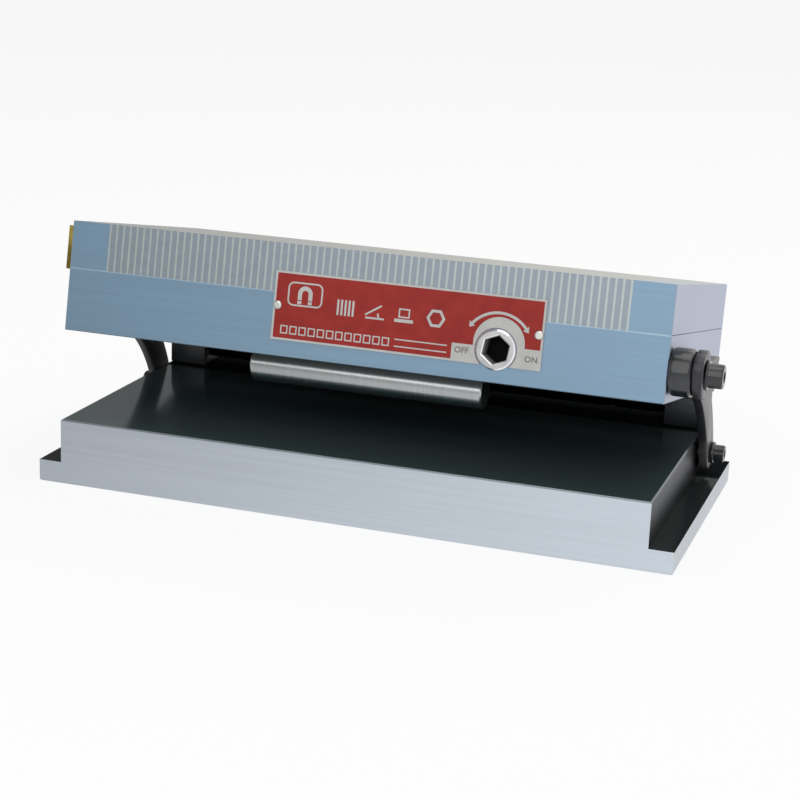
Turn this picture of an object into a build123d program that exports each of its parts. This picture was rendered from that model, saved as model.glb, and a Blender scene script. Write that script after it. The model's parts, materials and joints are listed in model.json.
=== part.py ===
from build123d import *
import os
from math import cos, radians, sin

# Tilting sine magnetic chuck. Millimetres, +Z up, label side at -Y.
# The origin is the middle of the base's underside.

# Base plate
base_depth = 176.0
base_height = 39.0
base_end_set_back = 1.0
ledge_width = 14.0
ledge_height = 13.0
edge_break = 0.8
ground_edge = 0.4

# Chuck body
chuck_length = 350.0
chuck_depth = 175.0
body_height = 36.0
floor_thickness = 8.0
front_wall = 16.0
back_wall = 12.0
end_wall = 24.0

# Laminated top plate
plate_height = 27.0
pole_thickness = 3.0
spacer_thickness = 1.2
shortest_end_block = 23.0
top_screw_spread = 70.0

# Hinge and sine rollers
tilt = 11.0
lowest_tilt = -1.5
highest_tilt = 20.0
hinge_from_back = 13.0
hinge_above_base = 13.5
hinge_from_chuck_back = 15.0
sine_distance = 125.0
roller_diameter = 20.0
roller_seat = 2.0
sine_roller_length = 138.0
journal_diameter = 12.0
bush_wall = 1.5
hinge_block_round = 13.0
hinge_block_length = 23.7
roller_end_play = 0.7
roller_counterbore = 7.0
roller_screw_web = 1.0
notch_clearance = 0.6

# Lock arms
arm_thickness = 5.2
arm_width = 19.0
right_arm_bow = 21.0
left_arm_bow = 10.0
arm_eye_radius = 10.0
arm_head_radius = 13.0
slot_wall = 4.8
slot_clearance = 0.4
pivot_ahead_of_hinge = 19.0
pivot_below_hinge = 25.5
lower_flat_share = 0.5
upper_flat_share = 0.8
boss_diameter = 26.0
boss_height = 13.2
right_clamp_s = 10.0
right_clamp_h = 17.3
left_clamp_from_middle = 17.5
left_clamp_h = 15.0
clamp_thread_depth = 16.0
shoulder_diameter = 8.0
thrust_washer_diameter = 16.0
pivot_washer_diameter = 12.8
pivot_washer_thickness = 2.2
pivot_thread_depth = 14.0
arm_side_gap = 0.3
arm_face_gap = 0.2
slot_over_travel = 1.0

# Key shaft and eccentric
key_from_end = 93.3
key_from_bottom = 18.0
key_diameter = 22.0
key_stand_out = 1.8
key_socket_flats = 14.0
key_socket_depth = 12.0
key_socket_turn = 8.0
key_socket_lead_in = 0.6
eccentric = 4.2
crank_pin_diameter = 6.0
crank_roller_diameter = 10.0
crank_roller_length = 10.0
key_bush_wall = 2.5
key_bush_length = 7.0
seal_section = 1.8
seal_share = 0.2
retainer_groove = 0.9
retainer_diameter = 4.0
retainer_share = 0.6

# Magnet pack
carrier_wall = 6.0
carrier_front_rail = 12.0
carrier_floor = 3.0
guide_width = 8.0
guide_thickness = 1.5
magnet_thickness = 12.0
pole_bar_thickness = 8.0
pack_end_clearance = 1.5
pack_side_clearance = 1.5
pack_top_clearance = 0.8
cosine_share = 0.11

# Name plate
label_length = 155.0
label_height = 38.4
label_thickness = 0.8
label_past_key = 25.55
label_from_bottom = 9.3
label_ring_gap = 0.6
rivet_head = 5.0
rivet_rise = 1.25
rivet_round = 1.0
rivet_shank = 2.4
rivet_depth = 4.0
rivet_from_edge = 2.6

# End stop on the left end
stop_thickness = 4.0
stop_height = 25.0
stop_from_bottom = 35.0
stop_inset = 3.0
stop_travel = 8.0
stop_screw_spread = 95.0
stop_thread_depth = 12.0
stop_side_gap = 0.1

# Fits
running_gap = 0.03
seat_gap = 0.02
thread_gap = 0.05
slide_gap = 0.1

# Cap screws: thread, head diameter, head height, socket across flats
m5 = (5.0, 8.5, 5.0, 4.0)
m6 = (6.0, 10.0, 6.0, 5.0)
m8 = (8.0, 13.0, 8.0, 6.0)
head_chamfer = 0.5
lock_washer_diameter = 16.0
lock_washer_thickness = 1.2
screw_hole_gap = 0.25

# Worked-out lengths that the base and the name plate take from the chuck
base_body_length = chuck_length - 2 * base_end_set_back
key_x = chuck_length / 2 - key_from_end
label_centre_x = key_x + label_past_key - label_length / 2
left_clamp_s = chuck_depth / 2 - left_clamp_from_middle

# Worked-out frame of the tilted chuck
turn = radians(tilt)
hinge_y = base_depth / 2 - hinge_from_back
hinge_z = base_height + hinge_above_base
pivot_y = hinge_y - pivot_ahead_of_hinge
pivot_z = hinge_z - pivot_below_hinge
roller_radius = roller_diameter / 2
axis_drop = roller_radius - roller_seat
hinge_s = chuck_depth - hinge_from_chuck_back
sine_s = hinge_s - sine_distance
front_y = hinge_y - hinge_s * cos(turn) + axis_drop * sin(turn)
front_z = hinge_z + hinge_s * sin(turn) + axis_drop * cos(turn)
along = (0, cos(turn), -sin(turn))
outward = (0, -cos(turn), sin(turn))
upward = (0, sin(turn), cos(turn))
downward = (0, -sin(turn), -cos(turn))
chuck_plane = Plane(origin=(0, front_y, front_z), x_dir=(1, 0, 0), z_dir=upward)
front_plane = Plane(origin=(0, front_y, front_z), x_dir=(1, 0, 0), z_dir=outward)


def on_chuck(x, s, h):
    return chuck_plane.from_local_coords((x, s, h))


# A cut across the chuck at one x: first axis runs back, second runs up.
def chuck_section(x):
    return Plane(origin=(x, front_y, front_z), x_dir=along, z_dir=(1, 0, 0))


def seat(point, direction):
    return Plane(origin=point, z_dir=direction).location


# A socket head cap screw standing on z = 0, head up.
def cap_screw(size, shank_length, shoulder=None):
    thread, head, head_height, flats = size
    with BuildPart() as screw:
        Cylinder(head / 2, head_height, align=(Align.CENTER, Align.CENTER, Align.MIN))
        chamfer(screw.edges().group_by(Axis.Z)[-1], head_chamfer)
        with BuildSketch(Plane.XY.offset(head_height)):
            RegularPolygon(flats / 2, 6, major_radius=False)
        extrude(amount=-head_height / 2, mode=Mode.SUBTRACT)
        Cylinder(thread / 2, shank_length, align=(Align.CENTER, Align.CENTER, Align.MAX))
        if shoulder:
            shoulder_size, shoulder_length = shoulder
            Cylinder(shoulder_size / 2, shoulder_length, align=(Align.CENTER, Align.CENTER, Align.MAX))
    return screw.part


def ring(outer, inner, thickness):
    with BuildPart() as washer:
        Cylinder(outer / 2, thickness, align=(Align.CENTER, Align.CENTER, Align.MIN))
        Hole(inner / 2)
    return washer.part


# Base plate: a ground block with a low clamping ledge at each end.
base_length = base_body_length + 2 * ledge_width
block_inner_x = base_body_length / 2 - hinge_block_length
block_middle_x = base_body_length / 2 - hinge_block_length / 2
block_screw_spread = hinge_block_round
block_screw_head_z = base_height / 2
block_thread_depth = hinge_above_base - journal_diameter / 2 - bush_wall
block_screw_points = [
    (side * block_middle_x, hinge_y + across * block_screw_spread / 2)
    for side in (-1, 1)
    for across in (-1, 1)
]
pivot_points = [(side, (side * base_body_length / 2, pivot_y, pivot_z)) for side in (-1, 1)]

with BuildPart() as base_plate:
    with BuildSketch():
        Rectangle(base_length, base_depth)
    extrude(amount=ledge_height)
    with BuildSketch(Plane.XY.offset(ledge_height)):
        Rectangle(base_body_length, base_depth)
    extrude(amount=base_height - ledge_height)
    chamfer(base_plate.edges().group_by(Axis.Z)[-1], edge_break)
    chamfer(base_plate.edges().group_by(Axis.Z)[0], edge_break)
    with Locations(*[seat((x, y, 0), (0, 0, -1)) for x, y in block_screw_points]):
        CounterBoreHole(
            m5[0] / 2 + screw_hole_gap,
            m5[1] / 2 + screw_hole_gap,
            block_screw_head_z,
            base_height,
        )
    with Locations(*[seat(point, (side, 0, 0)) for side, point in pivot_points]):
        Hole(m6[0] / 2 + thread_gap, pivot_thread_depth)
base_plate.part.label = "base_plate"

# Hinge blocks: round-topped pillow blocks that carry the rear roller's journals.
bush_outer = journal_diameter + 2 * running_gap + 2 * bush_wall
with BuildPart() as hinge_block_right:
    with BuildSketch(Plane.YZ.offset(block_inner_x)):
        with Locations((hinge_y, hinge_z)):
            Circle(hinge_block_round)
        with Locations((hinge_y, base_height)):
            Rectangle(2 * hinge_block_round, hinge_above_base, align=(Align.CENTER, Align.MIN))
        with Locations((hinge_y, hinge_z)):
            Circle(bush_outer / 2 + seat_gap, mode=Mode.SUBTRACT)
    extrude(amount=hinge_block_length)
    with Locations(*[seat((x, y, base_height), (0, 0, -1)) for x, y in block_screw_points if x > 0]):
        Hole(m5[0] / 2 + thread_gap, block_thread_depth)
hinge_block_right.part.label = "hinge_block_right"

with BuildPart() as hinge_block_left:
    mirror(hinge_block_right.part, about=Plane.YZ)
hinge_block_left.part.label = "hinge_block_left"

bush = ring(bush_outer, journal_diameter + 2 * running_gap, hinge_block_length)
with BuildPart() as hinge_bushes:
    with Locations(*[seat((side * block_inner_x, hinge_y, hinge_z), (side, 0, 0)) for side in (-1, 1)]):
        add(bush)
hinge_bushes.part.label = "hinge_bushes"

block_screw = cap_screw(m5, base_height - block_screw_head_z + block_thread_depth - 2 * thread_gap)
with BuildPart() as hinge_block_screws:
    with Locations(*[seat((x, y, block_screw_head_z), (0, 0, -1)) for x, y in block_screw_points]):
        add(block_screw)
hinge_block_screws.part.label = "hinge_block_screws"

# Rollers under the chuck: the rear one is the hinge pin, the front one stands on gauge blocks.
hinge_roller_half = block_inner_x - roller_end_play
roller_thread_depth = floor_thickness - roller_seat - roller_screw_web
hinge_screw_spots = [(x, hinge_s) for x in (-chuck_length / 3, 0, chuck_length / 3)]
sine_screw_spots = [(x, sine_s) for x in (-sine_roller_length / 3, sine_roller_length / 3)]


def roller_bottoms(spots):
    return [seat(on_chuck(x, s, -axis_drop - roller_radius), downward) for x, s in spots]


def roller_heads(spots):
    return [seat(on_chuck(x, s, roller_counterbore - axis_drop - roller_radius), downward) for x, s in spots]


with BuildPart() as hinge_roller:
    with BuildSketch(chuck_section(0)):
        with Locations((hinge_s, -axis_drop)):
            Circle(roller_radius)
    extrude(amount=hinge_roller_half, both=True)
    with BuildSketch(chuck_section(0)):
        with Locations((hinge_s, -axis_drop)):
            Circle(journal_diameter / 2)
    extrude(amount=base_body_length / 2 - edge_break, both=True)
    with Locations(*roller_bottoms(hinge_screw_spots)):
        CounterBoreHole(m5[0] / 2 + screw_hole_gap, m5[1] / 2 + screw_hole_gap, roller_counterbore, roller_diameter)
hinge_roller.part.label = "hinge_roller"

with BuildPart() as sine_roller:
    with BuildSketch(chuck_section(0)):
        with Locations((sine_s, -axis_drop)):
            Circle(roller_radius)
    extrude(amount=sine_roller_length / 2, both=True)
    chamfer(sine_roller.edges().filter_by(GeomType.CIRCLE), edge_break)
    with Locations(*roller_bottoms(sine_screw_spots)):
        CounterBoreHole(m5[0] / 2 + screw_hole_gap, m5[1] / 2 + screw_hole_gap, roller_counterbore, roller_diameter)
sine_roller.part.label = "sine_roller"

roller_screw = cap_screw(m5, roller_diameter - roller_counterbore + roller_thread_depth)
with BuildPart() as hinge_roller_screws:
    with Locations(*roller_heads(hinge_screw_spots)):
        add(roller_screw)
hinge_roller_screws.part.label = "hinge_roller_screws"

with BuildPart() as sine_roller_screws:
    with Locations(*roller_heads(sine_screw_spots)):
        add(roller_screw)
sine_roller_screws.part.label = "sine_roller_screws"

# Chuck housing: a pocketed box that the top plate closes.
pocket_length = chuck_length - 2 * end_wall
pocket_depth = chuck_depth - front_wall - back_wall
pocket_middle = front_wall + pocket_depth / 2
pocket_height = body_height - floor_thickness
notch_depth = hinge_block_round - axis_drop + notch_clearance
notch_reach = (hinge_block_round**2 - axis_drop**2) ** 0.5 + 3 * notch_clearance
notch_length = chuck_length / 2 - hinge_roller_half
key_bore = key_diameter + 2 * running_gap
key_bush_outer = key_bore + 2 * key_bush_wall
top_screw_x = chuck_length / 2 - end_wall / 2
top_screw_spots = [
    (side * top_screw_x, chuck_depth / 2 + across * top_screw_spread / 2)
    for side in (-1, 1)
    for across in (-1, 1)
]
top_screw_counterbore = floor_thickness
top_thread_depth = plate_height / 2
retainer_s = (front_wall - key_bush_length) * retainer_share
seal_s = (front_wall - key_bush_length) * seal_share
retainer_tip_h = key_from_bottom - key_diameter / 2 + retainer_groove / 2
rivet_h = label_from_bottom + label_height / 2
rivet_points = [
    (label_centre_x + side * (label_length / 2 - rivet_from_edge), rivet_h)
    for side in (-1, 1)
]

with BuildPart() as chuck_housing:
    with BuildSketch(chuck_plane):
        with Locations((0, chuck_depth / 2)):
            Rectangle(chuck_length, chuck_depth)
    extrude(amount=body_height)
    rim_edges = chuck_housing.edges().group_by(Axis((0, front_y, front_z), upward))[-1]
    chamfer(chuck_housing.edges() - rim_edges, ground_edge)
    with BuildSketch(chuck_plane.offset(floor_thickness)):
        with Locations((0, pocket_middle)):
            Rectangle(pocket_length, pocket_depth)
    extrude(amount=pocket_height, mode=Mode.SUBTRACT)
    # Saddles for the two rollers
    with BuildSketch(chuck_section(0)):
        with Locations((hinge_s, -axis_drop)):
            Circle(roller_radius + seat_gap)
    extrude(amount=hinge_roller_half, both=True, mode=Mode.SUBTRACT)
    with BuildSketch(chuck_section(0)):
        with Locations((sine_s, -axis_drop)):
            Circle(roller_radius + seat_gap)
    extrude(amount=sine_roller_length / 2 + seat_gap, both=True, mode=Mode.SUBTRACT)
    # Corner notches that clear the hinge blocks
    with BuildSketch(chuck_plane):
        for side in (-1, 1):
            with Locations((side * chuck_length / 2, chuck_depth)):
                Rectangle(2 * notch_length, 2 * (hinge_from_chuck_back + notch_reach))
    extrude(amount=notch_depth, mode=Mode.SUBTRACT)
    with Locations(*[seat(on_chuck(x, s, 0), downward) for x, s in hinge_screw_spots + sine_screw_spots]):
        Hole(m5[0] / 2 + thread_gap, roller_seat + roller_thread_depth + thread_gap)
    # Key shaft bore, with a wider seat for the bush at the back of the wall
    with Locations(seat(on_chuck(key_x, 0, key_from_bottom), outward)):
        Hole(key_bore / 2, front_wall)
    with Locations(seat(on_chuck(key_x, front_wall, key_from_bottom), along)):
        Hole(key_bush_outer / 2 + seat_gap, key_bush_length)
    with Locations(seat(on_chuck(key_x, retainer_s, 0), downward)):
        Hole(retainer_diameter / 2 + thread_gap, key_from_bottom - key_diameter / 2 + retainer_groove)
    with Locations(*[seat(on_chuck(x, s, 0), downward) for x, s in top_screw_spots]):
        CounterBoreHole(
            m6[0] / 2 + screw_hole_gap,
            m6[1] / 2 + screw_hole_gap,
            top_screw_counterbore,
            body_height,
        )
    with Locations(
        seat(on_chuck(chuck_length / 2, right_clamp_s, right_clamp_h), (1, 0, 0)),
        seat(on_chuck(-chuck_length / 2, left_clamp_s, left_clamp_h), (-1, 0, 0)),
    ):
        Hole(m8[0] / 2 + thread_gap, clamp_thread_depth)
    with Locations(*[seat(on_chuck(x, 0, h), outward) for x, h in rivet_points]):
        Hole(rivet_shank / 2 + thread_gap, rivet_depth)
chuck_housing.part.label = "chuck_housing"

# Laminated top plate: steel poles and brass spacers between two solid end blocks.
pole_pitch = pole_thickness + spacer_thickness
pole_count = int((chuck_length - 2 * shortest_end_block - spacer_thickness) / pole_pitch)
stack_length = pole_count * pole_pitch + spacer_thickness
end_block_length = (chuck_length - stack_length) / 2
top_plane = chuck_plane.offset(body_height)
stop_screw_points = [
    (chuck_depth / 2 + across * stop_screw_spread / 2, stop_from_bottom + stop_height / 2)
    for across in (-1, 1)
]

with BuildPart() as steel_poles:
    with BuildSketch(top_plane):
        with Locations((0, chuck_depth / 2)):
            with GridLocations(pole_pitch, 1, pole_count, 1):
                Rectangle(pole_thickness, chuck_depth)
    extrude(amount=plate_height)
steel_poles.part.label = "steel_poles"

with BuildPart() as brass_spacers:
    with BuildSketch(top_plane):
        with Locations((0, chuck_depth / 2)):
            with GridLocations(pole_pitch, 1, pole_count + 1, 1):
                Rectangle(spacer_thickness, chuck_depth)
    extrude(amount=plate_height)
brass_spacers.part.label = "brass_spacers"

with BuildPart() as end_block_right:
    with BuildSketch(top_plane):
        with Locations((chuck_length / 2, chuck_depth / 2)):
            Rectangle(end_block_length, chuck_depth, align=(Align.MAX, Align.CENTER))
    extrude(amount=plate_height)
    chamfer(end_block_right.edges().group_by(Axis.X)[-1], ground_edge)
    with Locations(*[seat(on_chuck(x, s, body_height), downward) for x, s in top_screw_spots if x > 0]):
        Hole(m6[0] / 2 + thread_gap, top_thread_depth)
end_block_right.part.label = "end_block_right"

with BuildPart() as end_block_left:
    mirror(end_block_right.part, about=Plane.YZ)
    with Locations(*[seat(on_chuck(-chuck_length / 2, s, h), (-1, 0, 0)) for s, h in stop_screw_points]):
        Hole(m5[0] / 2 + thread_gap, stop_thread_depth)
end_block_left.part.label = "end_block_left"

top_screw = cap_screw(m6, body_height - top_screw_counterbore + top_thread_depth - 2 * thread_gap)
with BuildPart() as top_plate_screws:
    with Locations(*[seat(on_chuck(x, s, top_screw_counterbore), downward) for x, s in top_screw_spots]):
        add(top_screw)
top_plate_screws.part.label = "top_plate_screws"

# Name plate with a notch round the key shaft, and its two rivets
with BuildPart() as name_plate:
    with BuildSketch(front_plane):
        with Locations((label_centre_x, label_from_bottom)):
            Rectangle(label_length, label_height, align=(Align.CENTER, Align.MIN))
        with Locations((key_x, key_from_bottom)):
            Circle(key_diameter / 2 + label_ring_gap, mode=Mode.SUBTRACT)
        with Locations(*rivet_points):
            Circle(rivet_shank / 2 + thread_gap, mode=Mode.SUBTRACT)
    extrude(amount=label_thickness)
name_plate.part.label = "name_plate"

with BuildPart() as rivet:
    Cylinder(rivet_head / 2, rivet_rise, align=(Align.CENTER, Align.CENTER, Align.MIN))
    fillet(rivet.edges().group_by(Axis.Z)[-1], rivet_round)
    Cylinder(rivet_shank / 2, rivet_depth, align=(Align.CENTER, Align.CENTER, Align.MAX))
with BuildPart() as name_plate_rivets:
    with Locations(*[seat(on_chuck(x, -label_thickness, h), outward) for x, h in rivet_points]):
        add(rivet.part)
name_plate_rivets.part.label = "name_plate_rivets"

# Key shaft: hex socket in front, crank pin behind, off-centre by the eccentric.
key_front = front_plane.offset(key_stand_out)
key_back_s = front_wall + slide_gap
crank_pin_length = crank_roller_length + 2 * pack_side_clearance
crank_x = key_x - eccentric
groove_inner = key_diameter / 2 - retainer_groove
seal_inner = key_diameter / 2 + running_gap - seal_section

with BuildPart() as key_shaft:
    with BuildSketch(key_front):
        with Locations((key_x, key_from_bottom)):
            Circle(key_diameter / 2)
    extrude(amount=-(key_stand_out + key_back_s))
    chamfer(key_shaft.edges().filter_by(GeomType.CIRCLE).sort_by(Axis.Y)[0], edge_break)
    with BuildSketch(key_front):
        with Locations((key_x, key_from_bottom)):
            RegularPolygon(key_socket_flats / 2, 6, major_radius=False, rotation=30 - key_socket_turn)
    extrude(amount=-key_socket_depth, mode=Mode.SUBTRACT)
    socket_edges = key_shaft.edges().filter_by(GeomType.LINE)
    chamfer(socket_edges.group_by(Axis((0, front_y, front_z), outward))[-1], key_socket_lead_in)
    with BuildSketch(front_plane.offset(-key_back_s)):
        with Locations((crank_x, key_from_bottom)):
            Circle(crank_pin_diameter / 2)
    extrude(amount=-crank_pin_length)
    for groove_s, groove_width, groove_radius in (
        (seal_s, seal_section, seal_inner),
        (retainer_s, retainer_diameter, groove_inner),
    ):
        with BuildSketch(front_plane.offset(groove_width / 2 + slide_gap - groove_s)):
            with Locations((key_x, key_from_bottom)):
                Circle(key_diameter)
                Circle(groove_radius, mode=Mode.SUBTRACT)
        extrude(amount=-groove_width - 2 * slide_gap, mode=Mode.SUBTRACT)
key_shaft.part.label = "key_shaft"

with BuildPart() as shaft_seal:
    with Locations(seat(on_chuck(key_x, seal_s, key_from_bottom), outward)):
        Torus(seal_inner + seal_section / 2, seal_section / 2 - seat_gap)
shaft_seal.part.label = "shaft_seal"

with BuildPart() as shaft_bush:
    with Locations(seat(on_chuck(key_x, front_wall - key_bush_length, key_from_bottom), along)):
        add(ring(key_bush_outer, key_bore, key_bush_length))
shaft_bush.part.label = "shaft_bush"

with BuildPart() as shaft_retainer:
    with Locations(seat(on_chuck(key_x, retainer_s, 0), upward)):
        Cylinder(retainer_diameter / 2, retainer_tip_h, align=(Align.CENTER, Align.CENTER, Align.MIN))
shaft_retainer.part.label = "shaft_retainer"

with BuildPart() as crank_roller:
    with Locations(seat(on_chuck(crank_x, key_back_s + pack_side_clearance, key_from_bottom), along)):
        add(ring(crank_roller_diameter, crank_pin_diameter + 2 * running_gap, crank_roller_length))
crank_roller.part.label = "crank_roller"

# Magnet pack: a carrier that slides on two guide strips, with magnets between steel bars.
# The roller's sideways path is a cosine and the pack's is drawn as a straight share of the turn,
# so the crank slot is wider than the roller by that difference.
pack_travel = 2 * eccentric
crank_slack = cosine_share * pack_travel + slide_gap
pack_length = pocket_length - pack_travel - 2 * pack_end_clearance
pack_x = -eccentric
pack_front_s = front_wall + pack_side_clearance
pack_back_s = chuck_depth - back_wall - pack_side_clearance
pack_bottom_h = floor_thickness + guide_thickness + slide_gap
pack_top_h = body_height - pack_top_clearance
bay_length = pack_length - 2 * carrier_wall
bay_front_s = pack_front_s + carrier_front_rail
bay_back_s = pack_back_s - carrier_wall
bay_bottom_h = pack_bottom_h + carrier_floor
magnet_pitch = magnet_thickness + pole_bar_thickness
magnet_count = int((bay_length - pole_bar_thickness) / magnet_pitch)
bar_length = bay_back_s - bay_front_s - 2 * slide_gap
bar_height = pack_top_h - bay_bottom_h - slide_gap
bar_plane = chuck_plane.offset(bay_bottom_h + slide_gap)
crank_slot_width = crank_roller_diameter + 2 * crank_slack
crank_slot_height = crank_roller_diameter + eccentric + 4 * slide_gap

with BuildPart() as guide_strips:
    with BuildSketch(chuck_plane.offset(floor_thickness)):
        for strip_s in (pack_front_s, pack_back_s - guide_width):
            with Locations((0, strip_s)):
                Rectangle(pocket_length - 2 * slide_gap, guide_width, align=(Align.CENTER, Align.MIN))
    extrude(amount=guide_thickness)
guide_strips.part.label = "guide_strips"

with BuildPart() as magnet_carrier:
    with BuildSketch(chuck_plane.offset(pack_bottom_h)):
        with Locations((pack_x, pack_front_s)):
            Rectangle(pack_length, pack_back_s - pack_front_s, align=(Align.CENTER, Align.MIN))
    extrude(amount=pack_top_h - pack_bottom_h)
    with BuildSketch(chuck_plane.offset(bay_bottom_h)):
        with Locations((pack_x, bay_front_s)):
            Rectangle(bay_length, bay_back_s - bay_front_s, align=(Align.CENTER, Align.MIN))
    extrude(amount=pack_top_h - bay_bottom_h, mode=Mode.SUBTRACT)
    with BuildSketch(front_plane.offset(-pack_front_s)):
        with Locations((crank_x, key_from_bottom - crank_roller_diameter / 2 - 2 * slide_gap)):
            Rectangle(crank_slot_width, crank_slot_height, align=(Align.CENTER, Align.MIN))
    extrude(amount=-carrier_front_rail, mode=Mode.SUBTRACT)
magnet_carrier.part.label = "magnet_carrier"

with BuildPart() as magnets:
    with BuildSketch(bar_plane):
        with Locations((pack_x, bay_front_s + slide_gap + bar_length / 2)):
            with GridLocations(magnet_pitch, 1, magnet_count, 1):
                Rectangle(magnet_thickness, bar_length)
    extrude(amount=bar_height)
magnets.part.label = "magnets"

with BuildPart() as pole_bars:
    with BuildSketch(bar_plane):
        with Locations((pack_x, bay_front_s + slide_gap + bar_length / 2)):
            with GridLocations(magnet_pitch, 1, magnet_count + 1, 1):
                Rectangle(pole_bar_thickness, bar_length)
    extrude(amount=bar_height)
pole_bars.part.label = "pole_bars"

# Lock arms: bowed links. Each turns on a shoulder screw in the base's end wall, and its curved
# slot slides past the clamp screw in the chuck's end. The arm turns as far as the chuck does, so
# the slot is an arc as large as the way from the pivot to the hinge axis. The right arm is
# cranked outwards to pass a collar at the front, and the left arm lies flat along the end face.
# Each has a round head over its clamp screw, and the slot's end in that head stops the tilt.
chuck_end_x = chuck_length / 2
lower_x = chuck_end_x + arm_side_gap + arm_face_gap
raised_x = chuck_end_x + boss_height + arm_side_gap
arm_pivot = Vector(pivot_y, pivot_z)
slot_spoke = Vector(hinge_y, hinge_z) - arm_pivot
slot_width = m8[0] + 2 * slot_clearance


def clamp_point(s, h):
    point = on_chuck(0, s, h)
    return Vector(point.Y, point.Z)


def lock_arm(clamp, bow, upper_x):
    slot_centre = clamp - slot_spoke
    slot_low, slot_middle, slot_high = [
        slot_centre + slot_spoke.rotate(Axis.Z, angle - tilt)
        for angle in (
            lowest_tilt - slot_over_travel,
            (lowest_tilt + highest_tilt) / 2,
            highest_tilt + slot_over_travel,
        )
    ]
    chord = slot_low - arm_pivot
    reach = chord.length
    ahead = chord.normalized()
    bulge = (arm_pivot + slot_low) * 0.5 + Vector(ahead.Y, -ahead.X) * bow
    spine = ThreePointArc(arm_pivot, bulge, slot_low)
    slot_path = ThreePointArc(slot_low, slot_middle, slot_high)
    lower_flat = reach * lower_flat_share
    upper_flat = reach * upper_flat_share
    side_plane = Plane(
        origin=(0, pivot_y, pivot_z),
        x_dir=(0, ahead.X, ahead.Y),
        z_dir=(0, ahead.Y, -ahead.X),
    )
    with BuildPart() as arm:
        with BuildSketch(Plane.YZ.offset(lower_x)):
            SlotArc(spine, arm_width)
            SlotArc(slot_path, slot_width + 2 * slot_wall)
            with Locations((clamp.X, clamp.Y)):
                Circle(arm_head_radius)
            with Locations((pivot_y, pivot_z)):
                Circle(arm_eye_radius)
                Circle(shoulder_diameter / 2 + running_gap, mode=Mode.SUBTRACT)
            SlotArc(slot_path, slot_width, mode=Mode.SUBTRACT)
        extrude(amount=upper_x + arm_thickness - lower_x)
        # Keep a strip of even thickness that steps from the lower to the upper place
        with BuildSketch(side_plane):
            with BuildLine():
                Polyline(
                    (-reach, lower_x),
                    (lower_flat, lower_x),
                    (upper_flat, upper_x),
                    (2 * reach, upper_x),
                    (2 * reach, upper_x + arm_thickness),
                    (upper_flat, upper_x + arm_thickness),
                    (lower_flat, lower_x + arm_thickness),
                    (-reach, lower_x + arm_thickness),
                    close=True,
                )
            make_face()
        extrude(amount=chuck_depth, both=True, mode=Mode.INTERSECT)
    return arm.part


right_clamp = clamp_point(right_clamp_s, right_clamp_h)
left_clamp = clamp_point(left_clamp_s, left_clamp_h)

with BuildPart() as lock_arm_right:
    add(lock_arm(right_clamp, right_arm_bow, raised_x))
lock_arm_right.part.label = "lock_arm_right"

with BuildPart() as lock_arm_left:
    mirror(lock_arm(left_clamp, left_arm_bow, lower_x), about=Plane.YZ)
lock_arm_left.part.label = "lock_arm_left"

# Collar that holds the right arm's upper end off the chuck
with BuildPart() as arm_boss:
    with BuildSketch(chuck_section(chuck_end_x)):
        with Locations((right_clamp_s, right_clamp_h)):
            Circle(boss_diameter / 2)
            Circle(m8[0] / 2 + screw_hole_gap, mode=Mode.SUBTRACT)
    extrude(amount=boss_height)
    chamfer(arm_boss.edges().group_by(Axis.X)[-1].sort_by(SortBy.LENGTH)[-1], edge_break)
arm_boss.part.label = "arm_boss"

# Clamp screws and washers at the arms' upper ends
right_washer_x = raised_x + arm_thickness + arm_side_gap
left_washer_x = lower_x + arm_thickness + arm_side_gap
right_head_x = right_washer_x + lock_washer_thickness
left_head_x = left_washer_x + lock_washer_thickness

lock_washer = ring(lock_washer_diameter, m8[0] + 2 * screw_hole_gap, lock_washer_thickness)
with BuildPart() as arm_lock_washers:
    with Locations(
        seat((right_washer_x, right_clamp.X, right_clamp.Y), (1, 0, 0)),
        seat((-left_washer_x, left_clamp.X, left_clamp.Y), (-1, 0, 0)),
    ):
        add(lock_washer)
arm_lock_washers.part.label = "arm_lock_washers"

right_lock_screw = cap_screw(m8, right_head_x - chuck_end_x + clamp_thread_depth - thread_gap)
with BuildPart() as arm_lock_screw_right:
    with Locations(seat((right_head_x, right_clamp.X, right_clamp.Y), (1, 0, 0))):
        add(right_lock_screw)
arm_lock_screw_right.part.label = "arm_lock_screw_right"

left_lock_screw = cap_screw(m8, left_head_x - chuck_end_x + clamp_thread_depth - thread_gap)
with BuildPart() as arm_lock_screw_left:
    with Locations(seat((-left_head_x, left_clamp.X, left_clamp.Y), (-1, 0, 0))):
        add(left_lock_screw)
arm_lock_screw_left.part.label = "arm_lock_screw_left"


def both_ends(x):
    return [seat((side * x, pivot_y, pivot_z), (side, 0, 0)) for side in (-1, 1)]


# Shoulder screws and washers at the arms' lower ends
base_end_x = base_body_length / 2
thrust_thickness = lower_x - arm_side_gap - base_end_x
pivot_washer_x = lower_x + arm_thickness + arm_side_gap
pivot_head_x = pivot_washer_x + pivot_washer_thickness
washer_hole = shoulder_diameter + 2 * thread_gap
with BuildPart() as arm_thrust_washers:
    with Locations(*both_ends(base_end_x)):
        add(ring(thrust_washer_diameter, washer_hole, thrust_thickness))
arm_thrust_washers.part.label = "arm_thrust_washers"

with BuildPart() as arm_pivot_washers:
    with Locations(*both_ends(pivot_washer_x)):
        add(ring(pivot_washer_diameter, washer_hole, pivot_washer_thickness))
arm_pivot_washers.part.label = "arm_pivot_washers"

shoulder_length = pivot_head_x - base_end_x
pivot_screw = cap_screw(
    m6, shoulder_length + pivot_thread_depth - thread_gap, (shoulder_diameter, shoulder_length)
)
with BuildPart() as arm_pivot_screws:
    with Locations(*both_ends(pivot_head_x)):
        add(pivot_screw)
arm_pivot_screws.part.label = "arm_pivot_screws"

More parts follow.
